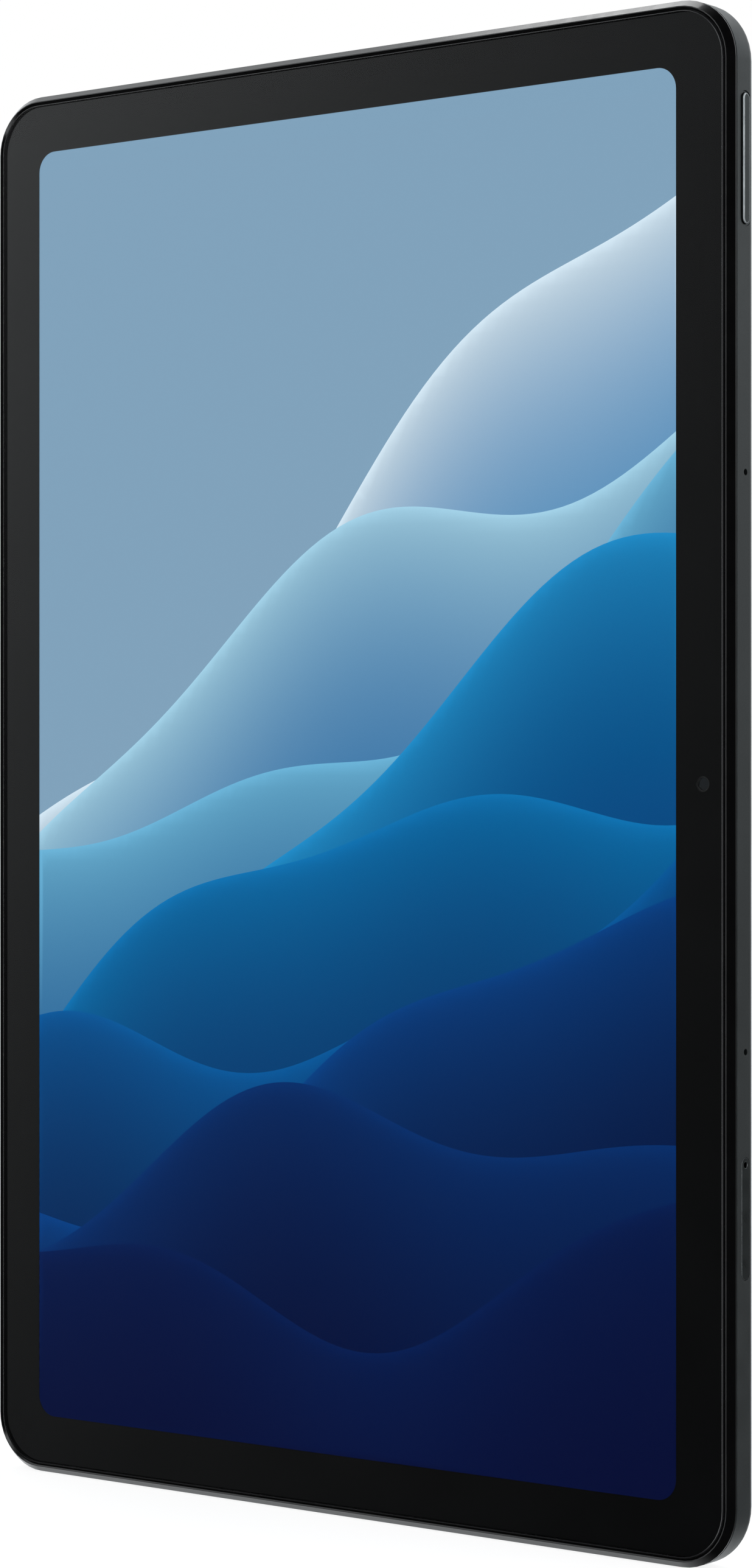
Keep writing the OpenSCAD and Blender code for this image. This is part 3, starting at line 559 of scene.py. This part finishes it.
def shade_flat_faces(mesh):
    """Smooth normals that hardly bend large flat faces: round each corner, faces that meet at a
    shallow angle are averaged by the square of their area."""
    around = {}
    for face in mesh.polygons:
        for v in face.vertices:
            around.setdefault(v, []).append(face)
    normals = []
    for face in mesh.polygons:
        for v in face.vertices:
            near = [f for f in around[v] if f.normal.dot(face.normal) > 0.8]
            total = sum((f.normal * (f.area / MM ** 2) ** 2 for f in near), Vector())
            normals.append(total.normalized() if total.length > 1e-12 else face.normal.copy())
    mesh.normals_split_custom_set(normals)


def finish_edges(node, width_mm=0.0, body="casing", edge_material=None, edge_test=None, front=None):
    """A copy of a CAD node that stands for it, with its flat faces made whole and its sharp edges
    rounded by width_mm. The rounded edges, and faces that edge_test picks, can take a material of
    their own. Nothing of it lies before front, if that is given."""
    bm = bmesh.new()
    bm.from_mesh(nodes[node].data)
    bmesh.ops.remove_doubles(bm, verts=bm.verts, dist=1e-6)
    bmesh.ops.dissolve_limit(bm, angle_limit=math.radians(0.6), verts=bm.verts, edges=bm.edges)
    rounded = []
    if width_mm:
        least = math.radians(28.0)
        sharp = [e for e in bm.edges if len(e.link_faces) == 2 and e.calc_face_angle(0.0) > least]
        rounded = bmesh.ops.bevel(
            bm, geom=sharp, offset=width_mm * MM, offset_type="OFFSET", segments=2,
            profile=0.5, affect="EDGES", clamp_overlap=True, material=-1,
        )["faces"]
    bm.normal_update()
    rounded = set(rounded)
    for face in bm.faces:
        face.smooth = True
        picked = face in rounded or (edge_test and edge_test(face))
        face.material_index = 1 if edge_material and picked else 0
    mesh = bpy.data.meshes.new(node + "_finish")
    bm.to_mesh(mesh)
    bm.free()
    shade_flat_faces(mesh)
    if front is not None:
        for v in mesh.vertices:
            v.co.y = max(v.co.y, front)
    mesh.materials.append(materials[slot_of[node]])
    if edge_material:
        mesh.materials.append(edge_material)
    return add_piece(node + "_finish", mesh, body, [node])


def on_lip(face):
    """The narrow crest of the frame's lip, beside the glass, which is coloured lighter as a painted
    highlight.
    """
    return face.normal.y < -0.98 and face.calc_center_median().y < lip_front + 0.08 * MM


def off_front(face):
    """The rounded and ground faces round a sheet, but not its front or back. On the cover glass they carry a
    painted highlight.
    """
    return abs(face.normal.y) < 0.97


def bright_rim(node, outwards, body, edge_material):
    """A copy of a key whose rounded outer edge was cut to brighter metal and made lighter still as a painted
    highlight.
    """
    mesh = nodes[node].data.copy()
    mesh.name = node + "_finish"
    outwards = Vector(outwards)
    reach = max(v.co.dot(outwards) for v in mesh.vertices)
    mesh.materials.append(edge_material)
    for face in mesh.polygons:
        facing = face.normal.dot(outwards)
        if 0.08 < facing < 0.985 and face.center.dot(outwards) > reach - 0.4 * MM:
            face.material_index = 1
    return add_piece(node + "_finish", mesh, body, [node])


# ------------------------------------------------------------------ the lit picture

def srgb(red, green, blue):
    """A screen colour, 0 to 255, as linear light."""
    def linear(value):
        value /= 255.0
        return value / 12.92 if value <= 0.04045 else ((value + 0.055) / 1.055) ** 2.4
    return Vector((linear(red), linear(green), linear(blue)))


# the lit area in mm: its half sizes, how far it lies off the middle, and its corner radius
PICTURE_HALF_W = 68.3
PICTURE_HALF_H = 113.8
PICTURE_X = -0.3
PICTURE_R = 3.6
PICTURE_PITCH = 2.2
BAND_COUNT = 9
SKY = srgb(132, 166, 192)
# colours of the bands, from the farthest to the nearest and on into its shade
BAND_COLOURS = [
    srgb(200, 218, 230), srgb(120, 184, 210), srgb(30, 130, 186), srgb(0, 92, 156),
    srgb(0, 60, 124), srgb(0, 34, 86), srgb(0, 14, 48),
]
# what the glass adds to the picture by mirroring the room
VEIL = 0.0035


def crest(band, across):
    """Height of a band's upper edge in mm. The bands lie one before the other like hills."""
    share = band / BAND_COUNT
    swell = 13.0 * math.sin(across / 31.0 + 2.1 * band) + 4.0 * math.sin(across / 13.0 + 1.3 * band)
    return 44.0 - 140.0 * share + (0.62 - 0.5 * share) * across + swell


def band_colour(share):
    place = min(share, 0.999) * (len(BAND_COLOURS) - 1)
    low = int(place)
    return BAND_COLOURS[low].lerp(BAND_COLOURS[low + 1], place - low)


def picture_colour(band, point):
    """Colour at a point of a band, shaded downwards from its crest. Band -1 is the plain sky."""
    made = SKY
    if band >= 0:
        share = band / BAND_COUNT
        below = max(0.0, crest(band, point.x) - point.y)
        made = band_colour(share).lerp(band_colour(share + 0.35), 1.0 - math.exp(-below / 26.0))
        made = made * (1.0 + 0.25 * math.exp(-below / 1.5))
    return Vector([max(0.0, c - VEIL) for c in made])


def rounded_outline(half_w, half_h, radius, steps=10):
    points = []
    corners = ((1, 1, 0), (-1, 1, 90), (-1, -1, 180), (1, -1, 270))
    for sx, sz, start in corners:
        for i in range(steps + 1):
            angle = math.radians(start + 90.0 * i / steps)
            x = sx * (half_w - radius) + radius * math.cos(angle)
            z = sz * (half_h - radius) + radius * math.sin(angle)
            points.append(Vector((x, z)))
    return points


def band_outline(band):
    """A band from its crest down past the bottom of the picture, counter-clockwise."""
    side, foot = 80, -130.0 - band
    top = [Vector((x, crest(band, x))) for x in range(side, -side - 1, -2)]
    return [Vector((-side, foot)), Vector((side, foot))] + top


def picture_mesh():
    """The panel as a closed slab whose front is split along the edges of the picture's bands."""
    panel_mid = (panel_low + panel_high) / 2
    half_w = (panel_high.x - panel_low.x) / 2 / MM
    half_h = (panel_high.z - panel_low.z) / 2 / MM
    drop = panel_mid.z / MM
    edge = [Vector((sx * half_w, sz * half_h + drop)) for sx, sz in ((-1, -1), (1, -1), (1, 1), (-1, 1))]
    window = rounded_outline(PICTURE_HALF_W, PICTURE_HALF_H, PICTURE_R)
    window = [p + Vector((PICTURE_X, 0)) for p in window]
    points, faces = [], []
    for outline in [edge, window] + [band_outline(band) for band in range(BAND_COUNT)]:
        faces.append(list(range(len(points), len(points) + len(outline))))
        points += outline
    # more points between, so that the shading is smooth
    for i in range(int(2 * PICTURE_HALF_W / PICTURE_PITCH)):
        for j in range(int(2 * PICTURE_HALF_H / PICTURE_PITCH)):
            offset = 0.5 * PICTURE_PITCH * (j % 2)
            x = -PICTURE_HALF_W + 0.7 + offset + i * PICTURE_PITCH
            z = -PICTURE_HALF_H + 0.9 + j * PICTURE_PITCH
            points.append(Vector((x, z)))
    found = geometry.delaunay_2d_cdt(points, [], faces, 1, 1e-5)
    flat_points, triangles, owners = found[0], found[2], found[5]

    bm = bmesh.new()
    front = panel_low.y - 0.03 * MM
    verts = [bm.verts.new((p.x * MM, front, p.y * MM)) for p in flat_points]
    layer = bm.loops.layers.float_color.new("picture")
    for triangle, owned in zip(triangles, owners):
        if 0 not in owned:
            continue
        face = bm.faces.new([verts[i] for i in triangle])
        lit = 1 in owned
        face.material_index = 0 if lit else 1
        for loop, index in zip(face.loops, triangle):
            colour = picture_colour(max(owned) - 2, flat_points[index]) if lit else (0.0, 0.0, 0.0)
            loop[layer] = (*colour, 1.0)
    bmesh.ops.delete(bm, geom=[v for v in bm.verts if not v.link_faces], context="VERTS")
    rim = [e for e in bm.edges if len(e.link_faces) == 1]
    walls = bmesh.ops.extrude_edge_only(bm, edges=rim)["geom"]
    moved = [g for g in walls if isinstance(g, bmesh.types.BMVert)]
    bmesh.ops.translate(bm, verts=moved, vec=(0.0, panel_high.y - front, 0.0))
    back = [g for g in walls if isinstance(g, bmesh.types.BMEdge)]
    made = bmesh.ops.contextual_create(bm, geom=back)["faces"]
    for face in [g for g in walls if isinstance(g, bmesh.types.BMFace)] + made:
        face.material_index = 1
    bmesh.ops.recalc_face_normals(bm, faces=bm.faces)
    mesh = bpy.data.meshes.new("lit_panel")
    bm.to_mesh(mesh)
    bm.free()
    return mesh


def make_screen():
    mesh = picture_mesh()
    mesh.materials.append(materials["display_panel"])
    mesh.materials.append(panel_black("panel_black"))
    add_piece("lit_panel", mesh, replaced=["lcd_panel"])


# ------------------------------------------------------------------ lenses

def lathe(name, centre, profile_mm, material, steps=64):
    """A round piece about an axis that runs front to back. Each point of the profile is its
    radius, then its depth towards the back of the tablet."""
    bm = bmesh.new()
    rings = []
    for radius, depth in profile_mm:
        if radius == 0:
            rings.append([bm.verts.new((0.0, depth * MM, 0.0))])
            continue
        ring = []
        for i in range(steps):
            angle = 2.0 * math.pi * i / steps
            x, z = radius * MM * math.cos(angle), radius * MM * math.sin(angle)
            ring.append(bm.verts.new((x, depth * MM, z)))
        rings.append(ring)
    for a, b in zip(rings, rings[1:]):
        for i in range(steps):
            j = (i + 1) % steps
            corners = [a[i % len(a)], a[j % len(a)], b[j % len(b)], b[i % len(b)]]
            corners = list(dict.fromkeys(corners))
            bm.faces.new(corners)
    bmesh.ops.recalc_face_normals(bm, faces=bm.faces)
    for face in bm.faces:
        face.smooth = True
    mesh = bpy.data.meshes.new(name)
    bm.to_mesh(mesh)
    bm.free()
    mesh.set_sharp_from_angle(angle=math.radians(35.0))
    mesh.transform(Matrix.Translation(centre))
    mesh.materials.append(material)
    return add_piece(name, mesh)


def make_lenses():
    """A curved lens and a stepped baffle in the rear camera, and the front lens's coating with its painted
    sheen.
    """
    low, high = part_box("rear_camera_glass")
    centre = (low + high) / 2
    back = low.y / MM
    cap = [(0.0, back - 0.3)]
    cap += [(2.2 * math.sin(a), back - 0.3 - 2.4 * (1 - math.cos(a))) for a in (0.2, 0.4, 0.6, 0.8)]
    cap += [(1.7, back - 1.3), (0.0, back - 1.3)]
    centre.y = 0.0
    lathe("rear_camera_lens", centre, cap, materials["lens_glass"])
    # a ring with three steps down towards the lens, as (radius, depth)
    steps = [(2.5, back - 0.75), (2.5, back - 0.6), (2.9, back - 0.6), (2.9, back - 0.4),
             (3.4, back - 0.4), (3.4, back - 0.2), (3.9, back - 0.2), (3.9, back - 0.75),
             (2.5, back - 0.75)]
    lathe("rear_camera_baffle", centre, steps, materials["camera_black"])
    # the front lens's coating, with a teal sheen painted into its colour at glancing angles
    front_lens_sheen = coated_lens("front_lens_coating", (0.002, 0.004, 0.006), (0.03, 0.07, 0.09))
    nodes["front_camera_lens"].data.materials[0] = front_lens_sheen


# ------------------------------------------------------------------ build

make_camera()
make_stage()
materials = slot_materials()
for name, piece in nodes.items():
    piece.data.materials.clear()
    piece.data.materials.append(materials[slot_of[name]])
make_screen()
make_lenses()
# lighter metal for rounded edges: brighter cut metal, lighter still as a painted highlight
edge_metal_and_highlight = bare_edge_and_highlight("bright_edge", (0.2, 0.215, 0.22))
# lighter metal for the keys' outer rims: cut metal and a painted highlight
key_rim_metal_and_highlight = bare_edge_and_highlight("key_rim_and_highlight", (0.34, 0.36, 0.37), 0.46)
# lighter grey plastic for the frame's lip and rounded edges: a painted highlight
lip_highlight_plastic = moulded("painted_lip_highlight", (0.03, 0.03, 0.031), (0.3, 0.4), 0.3, 0.001)
# grey for the glass's rounded and ground edge: partly the ground glass, partly a painted highlight
glass_rim_and_highlight = moulded("glass_edge_and_highlight", (0.012, 0.012, 0.013), (0.2, 0.3), 0.2, 0.001)
# the cover glass's edge faces in grey: ground glass and a painted highlight
finish_edges("cover_glass", edge_material=glass_rim_and_highlight, edge_test=off_front)
# the ink lies a hair behind the glass, so that the two faces don't fight for the same place
finish_edges("border_print", front=print_front + 0.006 * MM)
# the frame's lip crest and rounded edges in lighter plastic: painted highlight lines
finish_edges("front_frame", 0.05, edge_material=lip_highlight_plastic, edge_test=on_lip)
# the rounded metal edges of the shell, tray and camera ring: cut metal and a painted highlight line
finish_edges("rear_housing", 0.05, edge_material=edge_metal_and_highlight)
finish_edges("antenna_cover", 0.05, edge_material=edge_metal_and_highlight)
finish_edges("sim_tray", 0.05, "card_tray", edge_material=edge_metal_and_highlight)
finish_edges("rear_camera_ring", 0.08, edge_material=edge_metal_and_highlight)
# the keys' rounded outer rims in lighter metal: cut metal and a painted highlight
bright_rim("volume_rocker", (1, 0, 0), "volume_key", key_rim_metal_and_highlight)
bright_rim("power_button", (0, 0, 1), "power_key", key_rim_metal_and_highlight)
